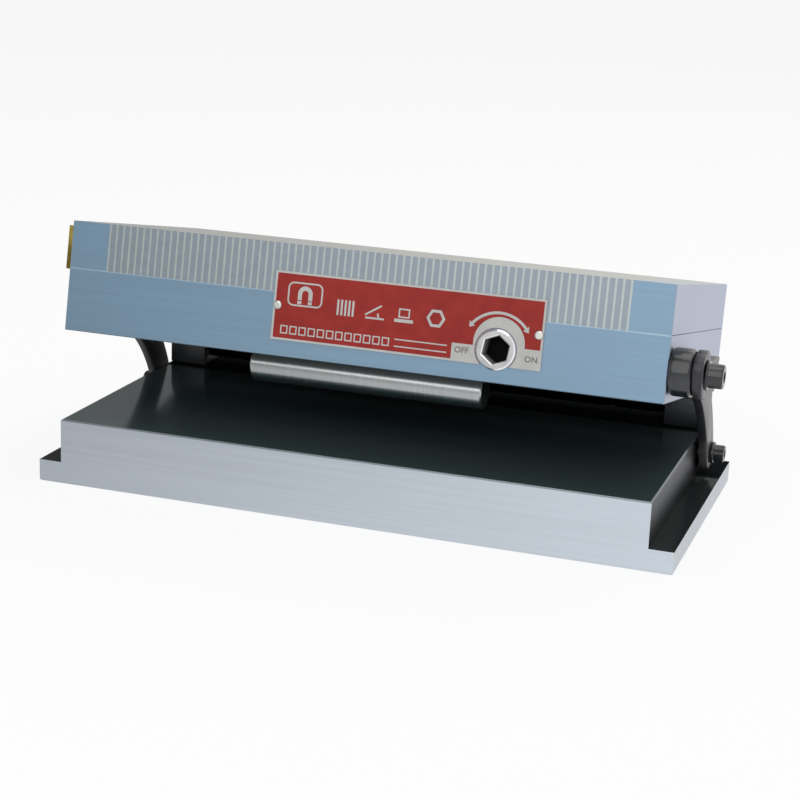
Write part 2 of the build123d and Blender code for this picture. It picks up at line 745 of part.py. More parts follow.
# End stop: a plate on the left end that lifts above the working face on two slots
stop_hole = m5[0] + 2 * screw_hole_gap
stop_plane = chuck_section(-chuck_end_x - stop_side_gap)
stop_length = chuck_depth - 2 * stop_inset
with BuildPart() as end_stop:
    with BuildSketch(stop_plane):
        with Locations((chuck_depth / 2, stop_from_bottom)):
            Rectangle(stop_length, stop_height, align=(Align.CENTER, Align.MIN))
        for s, h in stop_screw_points:
            with Locations((s, h - stop_travel / 2)):
                SlotCenterToCenter(stop_travel, stop_hole, rotation=90, mode=Mode.SUBTRACT)
    extrude(amount=-stop_thickness)
    chamfer(end_stop.edges().group_by(Axis.X)[0].filter_by(GeomType.LINE), edge_break / 2)
end_stop.part.label = "end_stop"

stop_head_x = chuck_end_x + stop_thickness + 2 * stop_side_gap
with BuildPart() as end_stop_screws:
    with Locations(*[seat(on_chuck(-stop_head_x, s, h), (-1, 0, 0)) for s, h in stop_screw_points]):
        add(cap_screw(m5, stop_head_x - chuck_end_x + stop_thread_depth - thread_gap))
end_stop_screws.part.label = "end_stop_screws"

pieces = [
    base_plate,
    hinge_block_left,
    hinge_block_right,
    hinge_bushes,
    hinge_block_screws,
    hinge_roller,
    hinge_roller_screws,
    sine_roller,
    sine_roller_screws,
    chuck_housing,
    steel_poles,
    brass_spacers,
    end_block_left,
    end_block_right,
    top_plate_screws,
    name_plate,
    name_plate_rivets,
    key_shaft,
    shaft_seal,
    shaft_bush,
    shaft_retainer,
    crank_roller,
    guide_strips,
    magnet_carrier,
    magnets,
    pole_bars,
    lock_arm_left,
    lock_arm_right,
    arm_boss,
    arm_lock_washers,
    arm_lock_screw_left,
    arm_lock_screw_right,
    arm_thrust_washers,
    arm_pivot_washers,
    arm_pivot_screws,
    end_stop,
    end_stop_screws,
]

os.makedirs("parts", exist_ok=True)
for piece in pieces:
    export_step(piece.part, f"parts/{piece.part.label}.step")
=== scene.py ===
import json
from math import atan2, cos, degrees, radians, sin

import bmesh
import bpy
from mathutils import Matrix, Vector


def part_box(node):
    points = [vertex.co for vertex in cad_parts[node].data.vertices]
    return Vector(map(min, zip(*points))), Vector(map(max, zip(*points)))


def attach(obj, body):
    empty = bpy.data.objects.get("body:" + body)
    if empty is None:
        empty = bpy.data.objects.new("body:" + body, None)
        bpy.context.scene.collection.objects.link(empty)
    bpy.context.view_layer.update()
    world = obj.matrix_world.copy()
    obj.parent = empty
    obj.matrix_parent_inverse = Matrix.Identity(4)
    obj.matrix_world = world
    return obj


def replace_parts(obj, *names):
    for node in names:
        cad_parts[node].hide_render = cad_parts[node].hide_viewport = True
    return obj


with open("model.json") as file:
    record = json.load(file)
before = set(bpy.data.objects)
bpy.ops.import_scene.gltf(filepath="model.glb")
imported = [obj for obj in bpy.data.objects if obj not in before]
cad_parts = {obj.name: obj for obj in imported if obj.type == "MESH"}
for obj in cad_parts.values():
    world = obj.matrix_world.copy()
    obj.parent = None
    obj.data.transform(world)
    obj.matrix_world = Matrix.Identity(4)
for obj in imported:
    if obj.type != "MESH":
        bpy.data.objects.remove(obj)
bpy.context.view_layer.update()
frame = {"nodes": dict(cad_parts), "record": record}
nodes = frame["nodes"]
bodyOf = {node: body for body, members in frame["record"]["behaviour"]["bodies"].items() for node in members}
scene = bpy.context.scene
print("frame:", len(nodes), "nodes")

mm = 0.001
weld = 0.001  # points nearer than this are one, in millimetres
faceFade = (0.6, 0.8)  # how square to a direction a face is before it takes that side's tone

# the chuck's own axes: x along it, s back from its front face, h up from its underside
chuck = {"tilt": radians(11.0), "hingeY": 75.0, "hingeZ": 52.5, "hingeS": 160.0, "axisDrop": 8.0, "seam": 36.0,
         "end": 175.0}
chuckBack = Vector((0, cos(chuck["tilt"]), -sin(chuck["tilt"])))
chuckUp = Vector((0, sin(chuck["tilt"]), cos(chuck["tilt"])))
chuckRight = Vector((1, 0, 0))
chuckTurn = Matrix((chuckRight, chuckUp, -chuckBack)).transposed().to_4x4()
chuckFront = Vector((0, chuck["hingeY"], chuck["hingeZ"])) - chuckBack * chuck["hingeS"] + chuckUp * chuck["axisDrop"]
key = {"x": 81.7, "h": 18.0, "notch": 11.8, "mouth": 8.75, "standOut": 1.8}


def onChuck(x, s, h):
    return chuckFront + chuckRight * x + chuckBack * s + chuckUp * h


def chuckMatrix(s):
    # flat work drawn in x and h, facing out of the front, at depth s
    return Matrix.Translation(onChuck(0, s, 0) * mm) @ chuckTurn @ Matrix.Scale(mm, 4)


class Wire:  # a socket that can stand in a sum
    def __init__(self, owner, socket):
        self.owner = owner
        self.socket = socket

    def maths(self, operation, first, second):
        return self.owner.add("ShaderNodeMath", {"operation": operation}, {0: first, 1: second})

    def __add__(self, other):
        return self.maths("ADD", self, other)

    def __radd__(self, other):
        return self.maths("ADD", other, self)

    def __sub__(self, other):
        return self.maths("SUBTRACT", self, other)

    def __rsub__(self, other):
        return self.maths("SUBTRACT", other, self)

    def __mul__(self, other):
        return self.maths("MULTIPLY", self, other)

    def __rmul__(self, other):
        return self.maths("MULTIPLY", other, self)


class Nodes:  # a node tree and the one way to add to it
    def __init__(self, tree, ending):
        self.tree = tree
        tree.nodes.clear()
        self.out = tree.nodes.new(ending)

    def add(self, kind, settings, values, output=0):
        node = self.tree.nodes.new(kind)
        for name, value in settings.items():
            setattr(node, name, value)
        for name, value in values.items():
            self.feed(node.inputs[name], value)
        return Wire(self, node.outputs[output])

    def feed(self, socket, value):
        if isinstance(value, Wire):
            self.tree.links.new(value.socket, socket)
        elif socket.type == "RGBA" and len(value) == 3:
            socket.default_value = (*value, 1.0)
        else:
            socket.default_value = value

    def fade(self, value, low, high, start=0.0, end=1.0):
        return self.add("ShaderNodeMapRange", {"interpolation_type": "SMOOTHSTEP"},
                        {"Value": value, "From Min": low, "From Max": high, "To Min": start, "To Max": end})

    def blend(self, share, first, second, mode="MIX"):
        return self.add("ShaderNodeMix", {"data_type": "RGBA", "blend_type": mode},
                        {0: share, 6: first, 7: second}, 2)

    def dot(self, vector, direction):
        return self.add("ShaderNodeVectorMath", {"operation": "DOT_PRODUCT"}, {0: vector, 1: tuple(direction)}, 1)

    def rays(self):
        paths = [self.add("ShaderNodeLightPath", {}, {}, name) for name in
                 ("Is Camera Ray", "Is Glossy Ray", "Is Transmission Ray")]
        return paths[0] + paths[1] + paths[2]


class Finish(Nodes):  # one material
    def __init__(self, name, **skin):
        self.material = bpy.data.materials.new(name)
        self.material.use_nodes = True
        super().__init__(self.material.node_tree, "ShaderNodeOutputMaterial")
        self.skin = self.add("ShaderNodeBsdfPrincipled", {}, {})
        self.feed(self.out.inputs[0], self.skin)
        self.wear(**skin)

    def wear(self, **values):
        names = {"color": "Base Color", "rough": "Roughness", "metal": "Metallic", "normal": "Normal",
                 "specular": "Specular IOR Level"}
        for name, value in values.items():
            self.feed(self.skin.socket.node.inputs[names[name]], value)

    def place(self):
        return self.add("ShaderNodeTexCoord", {}, {}, "Object")

    def towards(self, direction):
        # 1 where the surface faces a direction, 0 where it turns away
        return self.fade(self.dot(self.add("ShaderNodeTexCoord", {}, {}, "Normal"), direction), *faceFade)

    def along(self, direction, start=0.0):
        # metres along a direction, from a start in millimetres
        return self.dot(self.place(), direction) - start * mm

    def noise(self, scale, detail=3.0, turn=0.0):
        spread = self.add("ShaderNodeMapping", {}, {"Vector": self.place(), "Rotation": (turn, 0, 0), "Scale": scale})
        return self.add("ShaderNodeTexNoise", {}, {"Vector": spread, "Scale": 1.0, "Detail": detail})

    def bump(self, height, strength, distance):
        return self.add("ShaderNodeBump", {}, {"Height": height, "Strength": strength, "Distance": distance})


def shaded(tone, share):
    return tuple(share * v for v in tone)


steelGrain = {"markDetail": 4.0, "markFade": (0.3, 0.7), "cloudDetail": 2.0, "cloudFade": (0.35, 0.75, 0.0, 0.35),
              "depth": 0.0002}
dullCover = {"Roughness": 0.7, "Specular IOR Level": 0.0}


def patchShare(steel, patch):
    # 1 in a band along an axis, and only on one side where the patch names a side
    where = steel.along(patch["axis"], patch.get("start", 0.0))
    low, high, soft = (patch[name] * mm for name in ("low", "high", "soft"))
    share = steel.fade(where, low - soft, low) * steel.fade(where, high, high + soft, 1.0, 0.0)
    return share * steel.towards(patch["side"]) if "side" in patch else share


def groundSteel(name, look):
    # surface-ground metal: fine marks along the length, a little cloud, a tone by side that is painted light and
    # shade, and tones in bands
    steel = Finish(name, metal=look.get("metal", 1.0))
    marks = steel.noise(look["marks"], steelGrain["markDetail"], look.get("turn", 0.0))
    cloud = steel.noise((look["cloud"],) * 3, steelGrain["cloudDetail"])
    color = look["side"]
    # painted light and shade: each side takes a lighter or darker tone by the way it faces
    for direction, tone in look.get("tones", ()):
        color = steel.blend(steel.towards(direction), color, tone)
    dull = []
    for patch in look.get("patches", ()):
        share = patchShare(steel, patch)
        color = steel.blend(share, color, patch["tone"])
        if "matte" in patch:
            dull.append(share * patch["matte"])
    dark = steel.blend(1.0, color, (look["shade"],) * 3, "MULTIPLY")
    color = steel.blend(steel.fade(marks, *steelGrain["markFade"]), dark, color)
    color = steel.blend(steel.fade(cloud, *steelGrain["cloudFade"]), color, dark)
    rough = look["rough"] + (marks + cloud - 1.0) * look["roughSpread"]
    if "polished" in look:
        polish = look["polished"]
        top = steel.towards(polish["side"])
        rough = rough * (1 - top) + top * polish["rough"]
        if "metal" in polish:
            steel.wear(metal=1 - top * (1 - polish["metal"]))
    steel.wear(color=color, rough=rough, normal=steel.bump(marks, look["bump"], steelGrain["depth"]))
    if dull:
        cover = steel.add("ShaderNodeBsdfPrincipled", {}, {"Base Color": color, **dullCover})
        both = steel.add("ShaderNodeMixShader", {}, {0: sum(dull[1:], dull[0]), 1: steel.skin, 2: cover})
        steel.feed(steel.out.inputs[0], both)
    return steel


# painted shade: the rebate walls at both ends of the base, down in the recess, are made near black
rebate = {"low": 150.0, "high": 178.0, "soft": 4.0, "tone": (0.026, 0.029, 0.036)}
seamLine = {"low": chuck["seam"] - 0.35, "high": chuck["seam"] + 0.15, "soft": 0.15, "tone": (0.36, 0.48, 0.57)}
# painted light: the chuck's end faces take this lighter tone than its front
chuckEnd = (0.41, 0.44, 0.54)
# painted reflection: the arms' faces towards either end take this lighter tone
armFace = (0.095, 0.097, 0.106)
finishLooks = {
    # base: the dark tone on its up-facing faces is painted shade and a painted reflection of the chuck's dark
    # underside
    "base": {"side": (0.56, 0.61, 0.67), "tones": [((0, 0, 1), (0.075, 0.108, 0.112))], "marks": (5, 420, 420),
             "cloud": 16, "shade": 0.93, "rough": 0.36, "roughSpread": 0.08, "bump": 0.04,
             "polished": {"side": (0, 0, 1), "rough": 0.12, "metal": 0.4},
             "patches": [{"side": (1, 0, 0), "axis": (1, 0, 0), "low": 186.0, "high": 195.0, "soft": 2.0,
                          "tone": (0.42, 0.455, 0.50)},
                         # painted shade on the rebate walls
                         {**rebate, "side": (1, 0, 0), "axis": (1, 0, 0)},
                         {**rebate, "side": (-1, 0, 0), "axis": (-1, 0, 0)},
                         # painted shade: the ledge tops down in the rebate are made near black and partly matte
                         {"side": (0, 0, 1), "axis": (0, 0, 1), "low": 5.0, "high": 20.0, "soft": 4.0,
                          "tone": (0.022, 0.026, 0.026), "matte": 0.7},
                         # painted shade: the strip of the base's top under the back of the chuck is made near black
                         # and matte
                         {"side": (0, 0, 1), "axis": (0, 1, 0), "low": 56.0, "high": 95.0, "soft": 8.0,
                          "tone": (0.012, 0.014, 0.015), "matte": 1.0}]},
    # chuck: painted light and shade by side: lighter end faces, a painted sheen on the top and painted shade on the
    # underside
    "chuck": {"side": (0.222, 0.330, 0.435),
              "tones": [((1, 0, 0), chuckEnd), ((-1, 0, 0), chuckEnd), (chuckUp, (0.39, 0.42, 0.44)),
                        (-chuckUp, (0.12, 0.135, 0.14))],
              "marks": (6, 520, 520), "turn": chuck["tilt"], "cloud": 14, "shade": 0.94, "rough": 0.48,
              "roughSpread": 0.06, "bump": 0.03,
              "polished": {"side": chuckUp, "rough": 0.33},
              "patches": [{**seamLine, "side": -chuckBack, "axis": chuckUp, "start": chuckFront.dot(chuckUp)}]},
    # pole: the lighter tone on its top is a painted sheen
    "pole": {"side": (0.283, 0.328, 0.366), "tones": [(chuckUp, (0.37, 0.395, 0.41))], "marks": (300, 40, 260),
             "turn": chuck["tilt"], "cloud": 22, "shade": 0.93, "rough": 0.47, "roughSpread": 0.08, "bump": 0.04,
             "polished": {"side": chuckUp, "rough": 0.33}},
    # spacer: the tone on its top is partly the brass's own colour and partly a painted sheen
    "spacer": {"side": (0.43, 0.47, 0.47), "tones": [(chuckUp, (0.55, 0.48, 0.29))], "marks": (300, 40, 260),
               "turn": chuck["tilt"], "cloud": 22, "shade": 0.93, "rough": 0.46, "roughSpread": 0.08, "bump": 0.04,
               "polished": {"side": chuckUp, "rough": 0.32}},
    "roller": {"side": (0.45, 0.47, 0.47), "marks": (900, 60, 60), "cloud": 30, "shade": 0.9, "rough": 0.24,
               "roughSpread": 0.08, "bump": 0.03},
    # painted shade: the hinge roller sits under the chuck and is made near black
    "paintedShadeRoller": {"side": (0.026, 0.028, 0.030), "marks": (700, 60, 60), "cloud": 30, "shade": 0.8, "rough": 0.42,
              "roughSpread": 0.10, "bump": 0.04},
    # painted shade: the hinge blocks behind and under the chuck are made dark
    "block": {"side": (0.085, 0.090, 0.100), "marks": (40, 420, 420), "cloud": 24, "shade": 0.8, "rough": 0.40,
              "roughSpread": 0.10, "bump": 0.05, "metal": 0.5},
    # arm: lighter faces towards either end, a painted reflection
    "arm": {"side": (0.030, 0.031, 0.036), "tones": [((1, 0, 0), armFace), ((-1, 0, 0), armFace)],
            "marks": (420, 60, 60), "cloud": 40, "shade": 0.75, "rough": 0.40, "roughSpread": 0.12, "bump": 0.06,
            "metal": 0.3,
            "patches": [{"axis": (0, 0, 1), "low": 10.0, "high": 30.0, "soft": 12.0, "tone": (0.13, 0.125, 0.115)}]},
    # stop: the brighter gold band near its top is a painted highlight
    "stop": {"side": (0.26, 0.19, 0.042), "marks": (420, 30, 420), "turn": chuck["tilt"], "cloud": 24, "shade": 0.8,
             "rough": 0.30, "roughSpread": 0.12, "bump": 0.05,
             "patches": [{"axis": chuckUp, "start": chuckFront.dot(chuckUp), "low": 52.0, "high": 62.0, "soft": 8.0,
                          "tone": (0.52, 0.41, 0.105)}]},
    "bronze": {"side": (0.46, 0.30, 0.12), "marks": (700, 60, 60), "cloud": 40, "shade": 0.85, "rough": 0.34,
               "roughSpread": 0.10, "bump": 0.05},
    "carrier": {"side": (0.70, 0.71, 0.72), "marks": (30, 300, 300), "cloud": 20, "shade": 0.9, "rough": 0.40,
                "roughSpread": 0.10, "bump": 0.05},
    "magnet": {"side": (0.09, 0.09, 0.095), "marks": (160, 160, 160), "cloud": 40, "shade": 0.7, "rough": 0.62,
               "roughSpread": 0.14, "bump": 0.12, "metal": 0.6},
    "rivet": {"side": (0.66, 0.66, 0.63), "marks": (300, 300, 300), "cloud": 60, "shade": 0.85, "rough": 0.38,
              "roughSpread": 0.10, "bump": 0.04},
}
finishes = {name: groundSteel(name + "Steel", look) for name, look in finishLooks.items()}


blackLook = {"deep": (0.010, 0.011, 0.013), "rubbed": (0.034, 0.036, 0.040), "metal": 0.05, "specular": 0.58,
             "grit": 900.0, "gritDetail": 2.0, "rub": 55.0, "rubDetail": 4.0, "rubFade": (0.45, 0.75), "rough": 0.17,
             "gritRough": 0.16, "rubRough": 0.12, "bump": 0.10, "depth": 0.0002}


def blackOxide():
    look = blackLook
    black = Finish("blackOxide", metal=look["metal"], specular=look["specular"])
    grit = black.noise((look["grit"],) * 3, look["gritDetail"])
    rub = black.noise((look["rub"],) * 3, look["rubDetail"])
    color = black.blend(black.fade(rub, *look["rubFade"]), look["deep"], look["rubbed"])
    rough = look["rough"] + (grit - 0.5) * look["gritRough"] + (rub - 0.5) * look["rubRough"]
    black.wear(color=color, rough=rough, normal=black.bump(grit, look["bump"], look["depth"]))
    return black


chromeLook = {"tone": (0.80, 0.80, 0.81), "dim": 0.86, "haze": 180.0, "hazeFade": (0.4, 0.7), "rough": 0.10,
              "roughSpread": 0.08, "hole": (0.006, 0.006, 0.006), "lip": 0.25, "shallow": 1.0, "deep": 16.0,
              "floor": 3.0, "holeRough": 0.5}


def brightChrome():
    # polished on the ring, with painted shade that gets darker the deeper it goes into the hex hole
    look = chromeLook
    bright = Finish("brightChrome", metal=1.0)
    haze = bright.noise((look["haze"],) * 3)
    across = bright.along(chuckRight, key["x"])
    above = bright.along(chuckUp, chuckFront.dot(chuckUp) + key["h"])
    depth = bright.along(chuckBack, chuckFront.dot(chuckBack) - key["standOut"])
    shallow, deep, floorDepth = (look[name] * mm for name in ("shallow", "deep", "floor"))
    inner, outer = key["mouth"] * mm, (key["mouth"] + look["lip"]) * mm
    inside = bright.fade(across * across + above * above, inner ** 2, outer ** 2, 1.0, 0.0)
    wall = bright.fade(depth, shallow, deep)
    end = bright.towards(-chuckBack) * bright.fade(depth, shallow, floorDepth)
    # painted shade inside the hex hole, darker with depth and on its floor
    hole = inside * (wall + end - wall * end)
    color = bright.blend(bright.fade(haze, *look["hazeFade"]), look["tone"], shaded(look["tone"], look["dim"]))
    rough = look["rough"] + (haze - 0.5) * look["roughSpread"]
    rough = rough + inside * bright.fade(depth, 0.0, shallow) * look["holeRough"]
    bright.wear(color=bright.blend(hole, color, look["hole"]), rough=rough)
    return bright


inkLook = {"specular": 0.25, "mottle": 120.0, "mottleDetail": 4.0, "mottleFade": (0.35, 0.7), "speck": 1500.0,
           "speckDetail": 1.0, "roughSpread": 0.12, "bump": 0.05, "depth": 0.0001}
plateWhite = (0.48, 0.48, 0.465)
letterGrey = (0.20, 0.17, 0.17)
inks = {
    "red": {"name": "plateRed", "tone": (0.300, 0.020, 0.015), "deeper": (0.255, 0.016, 0.012), "rough": 0.46,
            "edge": plateWhite},
    "white": {"name": "plateWhite", "tone": plateWhite, "deeper": shaded(plateWhite, 0.92), "rough": 0.46},
    "grey": {"name": "letterGrey", "tone": letterGrey, "deeper": shaded(letterGrey, 0.8), "rough": 0.5},
}


def printedInk(coat):
    look = inkLook
    ink = Finish(coat["name"], metal=0.0, specular=look["specular"])
    mottle = ink.noise((look["mottle"],) * 3, look["mottleDetail"])
    speck = ink.noise((look["speck"],) * 3, look["speckDetail"])
    color = ink.blend(ink.fade(mottle, *look["mottleFade"]), coat["tone"], coat["deeper"])
    if "edge" in coat:
        color = ink.blend(ink.towards(-chuckBack), coat["edge"], color)
    ink.wear(color=color, rough=coat["rough"] + (speck - 0.5) * look["roughSpread"],
             normal=ink.bump(speck, look["bump"], look["depth"]))
    return ink


rubberLook = {"dark": (0.014, 0.014, 0.014), "pale": (0.03, 0.03, 0.03), "grain": 800.0, "grainDetail": 2.0,
              "rough": 0.6, "roughSpread": 0.2}


def softRubber():
    look = rubberLook
    rubber = Finish("sealRubber", metal=0.0)
    grain = rubber.noise((look["grain"],) * 3, look["grainDetail"])
    rubber.wear(color=rubber.blend(grain, look["dark"], look["pale"]),
                rough=look["rough"] + (grain - 0.5) * look["roughSpread"])
    return rubber


finishes["black"] = blackOxide()
finishes["chrome"] = brightChrome()
finishes.update({name: printedInk(ink) for name, ink in inks.items()})
finishes["rubber"] = softRubber()

finishOfNode = {
    "base": ["base_plate"],
    "block": ["hinge_block_left", "hinge_block_right"],
    "arm": ["lock_arm_left", "lock_arm_right"],
    "chuck": ["chuck_housing", "end_block_left", "end_block_right"],
    "pole": ["steel_poles", "pole_bars"],
    "spacer": ["brass_spacers"],
    "roller": ["sine_roller", "crank_roller"],
    # the hinge roller takes the painted-shade finish
    "paintedShadeRoller": ["hinge_roller"],
    "red": ["name_plate"],
    "rivet": ["name_plate_rivets"],
    "chrome": ["key_shaft"],
    "rubber": ["shaft_seal"],
    "bronze": ["hinge_bushes", "shaft_bush", "guide_strips"],
    "carrier": ["magnet_carrier"],
    "magnet": ["magnets"],
    "stop": ["end_stop"],
}
dressed = {node: finish for finish, members in finishOfNode.items() for node in members}
for name, node in nodes.items():
    node.data.materials.clear()
    node.data.materials.append(finishes[dressed.get(name, "black")].material)
print("finishes:", len(finishes))


def addPiece(name, bm, finish, body, smooth=None):
    mesh = bpy.data.meshes.new(name)
    bmesh.ops.recalc_face_normals(bm, faces=bm.faces)
    bm.to_mesh(mesh)
    bm.free()
    if smooth:
        mesh.shade_smooth()
        mesh.set_sharp_from_angle(angle=radians(smooth))
    mesh.materials.append(finishes[finish].material)
    piece = bpy.data.objects.new(name, mesh)
    scene.collection.objects.link(piece)
    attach(piece, body)
    return piece


def standFor(name, bm, node, smooth):
    piece = addPiece(name, bm, dressed.get(node, "black"), bodyOf[node], smooth)
    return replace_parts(piece, node)


def arcPoints(centre, radius, start, end, steps):
    turns = [radians(start + (end - start) * i / steps) for i in range(steps + 1)]
    return [(centre[0] + radius * cos(t), centre[1] + radius * sin(t)) for t in turns]


# pieces whose edges are broken: the round in millimetres
brokenEdges = [
    {"name": "armRight", "node": "lock_arm_right", "round": 0.55},
    {"name": "armLeft", "node": "lock_arm_left", "round": 0.55},
    {"name": "lockWashers", "node": "arm_lock_washers", "round": 0.25},
    {"name": "pivotWashers", "node": "arm_pivot_washers", "round": 0.4},
    {"name": "thrustWashers", "node": "arm_thrust_washers", "round": 0.3},
    {"name": "hingeBlockRight", "node": "hinge_block_right", "round": 0.6},
    {"name": "hingeBlockLeft", "node": "hinge_block_left", "round": 0.6},
]
edgeAngles = {"flat": 1.0, "sharp": 35.0, "smooth": 40.0}


def breakEdges(look):
    bm = bmesh.new()
    bm.from_mesh(nodes[look["node"]].data)
    bmesh.ops.remove_doubles(bm, verts=bm.verts, dist=2 * weld * mm)
    bmesh.ops.dissolve_limit(bm, angle_limit=radians(edgeAngles["flat"]), verts=bm.verts, edges=bm.edges)
    sharp = [edge for edge in bm.edges if edge.is_manifold and edge.calc_face_angle() > radians(edgeAngles["sharp"])]
    bmesh.ops.bevel(bm, geom=sharp, offset=look["round"] * mm, offset_type="OFFSET", affect="EDGES",
                    segments=2, profile=0.5, material=-1, clamp_overlap=True)
    return standFor(look["name"], bm, look["node"], edgeAngles["smooth"])


for look in brokenEdges:
    breakEdges(look)
print("broken edges:", len(brokenEdges))


def sideways(side):
    return Matrix.Rotation(radians(90.0 * side), 4, "Y")


ringSteps = 72


def turned(profile, place):
    # a ring turned from a closed profile of radius and height, then set in its place
    bm = bmesh.new()
    verts = [bm.verts.new((across, 0.0, along)) for across, along in profile]
    edges = [bm.edges.new((verts[i], verts[i - 1])) for i in range(len(verts))]
    bmesh.ops.spin(bm, geom=verts + edges, cent=(0, 0, 0), axis=(0, 0, 1), angle=radians(360.0), steps=ringSteps,
                   use_merge=True)
    bmesh.ops.remove_doubles(bm, verts=bm.verts, dist=weld)
    bmesh.ops.transform(bm, matrix=place @ Matrix.Scale(mm, 4), verts=bm.verts)
    return bm


collar = {"s": 10.0, "h": 17.3, "bore": 4.25, "outer": 13.0, "length": 13.2, "round": 2.6, "steps": 6}


def armCollar():
    # round shoulders, axis along x
    r, inner, length = collar["round"], collar["outer"] - collar["round"], collar["length"]
    profile = [(collar["bore"], 0.0)] + arcPoints((inner, r), r, -90, 0, collar["steps"])
    profile += arcPoints((inner, length - r), r, 0, 90, collar["steps"]) + [(collar["bore"], length)]
    place = Matrix.Translation(onChuck(chuck["end"], collar["s"], collar["h"]) * mm) @ sideways(1)
    return standFor("armCollar", turned(profile, place), "arm_boss", edgeAngles["smooth"])


armCollar()

seal = {"section": 0.84, "slack": 0.10, "steps": 16}


def sealRing():
    # the ring in the key shaft's groove, a little slack so that it turns clear of its bore
    low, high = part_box("shaft_seal")
    middle = (high.x - low.x) / 2 / mm - seal["section"] - seal["slack"] / 2
    profile = arcPoints((middle, 0.0), seal["section"] - seal["slack"], 0, 360, seal["steps"])[:-1]
    place = Matrix.Translation((low + high) / 2) @ chuckTurn
    return standFor("sealRing", turned(profile, place), "shaft_seal", edgeAngles["smooth"])


sealRing()
print("collar and seal ring turned")


def lift(bm, edges, height, width=1.0):
    # the next ring up a turned shape
    grown = bmesh.ops.extrude_edge_only(bm, edges=edges)["geom"]
    verts = [part for part in grown if isinstance(part, bmesh.types.BMVert)]
    bmesh.ops.scale(bm, vec=(width, width, 1.0), verts=verts)
    bmesh.ops.translate(bm, vec=(0, 0, height), verts=verts)
    fresh = set(verts)
    return [part for part in grown if isinstance(part, bmesh.types.BMEdge) and fresh.issuperset(part.verts)]


def knurledScrew(look, length):
    # a cap screw on z = 0, head up: ridged side, broken rim, hex hole
    bm = bmesh.new()
    points, head = look["ridges"] * 2, look["head"] / 2
    ring = bmesh.ops.create_circle(bm, cap_ends=False, radius=head, segments=points)["verts"]
    start = list(bm.edges)
    plain = lift(bm, start, look["plain"])
    bmesh.ops.scale(bm, vec=(look["groove"], look["groove"], 1.0), verts=[v for v in bm.verts if v not in ring][::2])
    side = lift(bm, plain, look["height"] - look["plain"] - look["rim"])
    crown = lift(bm, side, look["rim"], 1.0 - look["rim"] / head)
    before = set(bm.edges)
    corner = look["flats"] / 2 / cos(radians(30.0))
    hexRing = bmesh.ops.create_circle(bm, cap_ends=False, radius=corner, segments=6)["verts"]
    bmesh.ops.translate(bm, vec=(0, 0, look["height"]), verts=hexRing)
    bmesh.ops.subdivide_edges(bm, edges=[edge for edge in bm.edges if edge not in before], cuts=points // 6 - 1)
    mouth = [edge for edge in bm.edges if edge not in before]
    bmesh.ops.bridge_loops(bm, edges=crown + mouth)
    bmesh.ops.edgeloop_fill(bm, edges=lift(bm, mouth, -look["height"] / 2))
    neck = lift(bm, start, 0.0, look["shank"] / look["head"])
    bmesh.ops.edgeloop_fill(bm, edges=lift(bm, neck, -length))
    return bm


def screwEnds(node, height):
    # underside of the head and length of the shank, for one screw that points along x
    low, high = (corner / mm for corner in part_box(node))
    middle = (low + high) / 2
    side = 1 if high.x > chuck["end"] else -1
    under = max(abs(low.x), abs(high.x)) - height
    return (side * under, middle.y, middle.z), sideways(side), under - min(abs(low.x), abs(high.x))


capM8 = {"head": 13.0, "height": 8.0, "flats": 6.0, "shank": 8.0, "ridges": 36, "groove": 0.980,
         "plain": 0.7, "rim": 0.7}
capM6 = {"head": 10.0, "height": 6.0, "flats": 5.0, "shank": 8.0, "ridges": 30, "groove": 0.978,
         "plain": 0.6, "rim": 0.6}
capM5 = {"head": 8.5, "height": 5.0, "flats": 4.0, "shank": 5.0, "ridges": 30, "groove": 0.976,
         "plain": 0.5, "rim": 0.5}
deepM5 = {**capM5, "height": 6.6}
pivotScrew = {"threadEnd": 160.05}
rollerScrew = {"under": -11.0, "shank": 18.0, "hinge": [-116.67, 0.0, 116.67], "sine": [-46.0, 46.0], "sineS": 35.0}
stopScrew = {"head": 179.2, "shank": 16.15, "spots": [40.0, 135.0], "h": 47.5}


def screwPiece(name, node, look, ends):
    whole = bmesh.new()
    carrier = bpy.data.meshes.new(name + "Maker")
    for origin, turn, length in ends:
        bm = knurledScrew(look, length)
        place = Matrix.Translation(Vector(origin) * mm) @ turn @ Matrix.Scale(mm, 4)
        bmesh.ops.transform(bm, matrix=place, verts=bm.verts)
        bm.to_mesh(carrier)
        bm.free()
        whole.from_mesh(carrier)
    bpy.data.meshes.remove(carrier)
    return standFor(name, whole, node, edgeAngles["smooth"])


def pivotEnds():
    low, high = (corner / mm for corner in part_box("arm_pivot_screws"))
    under = high.x - capM6["height"]
    y, z = (low.y + high.y) / 2, (low.z + high.z) / 2
    return [((side * under, y, z), sideways(side), under - pivotScrew["threadEnd"]) for side in (-1, 1)]


def stopEnds():
    heads = [onChuck(-stopScrew["head"], s, stopScrew["h"]) for s in stopScrew["spots"]]
    return [(head, sideways(-1), stopScrew["shank"]) for head in heads]


def rollerEnds(s, spots):
    # screws that go up through a roller, heads down
    turn = Matrix((chuckRight, -chuckBack, -chuckUp)).transposed().to_4x4()
    return [(onChuck(x, s, rollerScrew["under"]), turn, rollerScrew["shank"]) for x in spots]


for side in ("Right", "Left"):
    node = "arm_lock_screw_" + side.lower()
    screwPiece("lockScrew" + side, node, capM8, [screwEnds(node, capM8["height"])])
screwPiece("pivotScrews", "arm_pivot_screws", capM6, pivotEnds())
screwPiece("stopScrews", "end_stop_screws", capM5, stopEnds())
screwPiece("hingeRollerScrews", "hinge_roller_screws", deepM5, rollerEnds(chuck["hingeS"], rollerScrew["hinge"]))
screwPiece("sineRollerScrews", "sine_roller_screws", deepM5, rollerEnds(rollerScrew["sineS"], rollerScrew["sine"]))
print("cap screws done")


def boxPoints(x, h, width, height):
    return [(x, h), (x + width, h), (x + width, h + height), (x, h + height)]


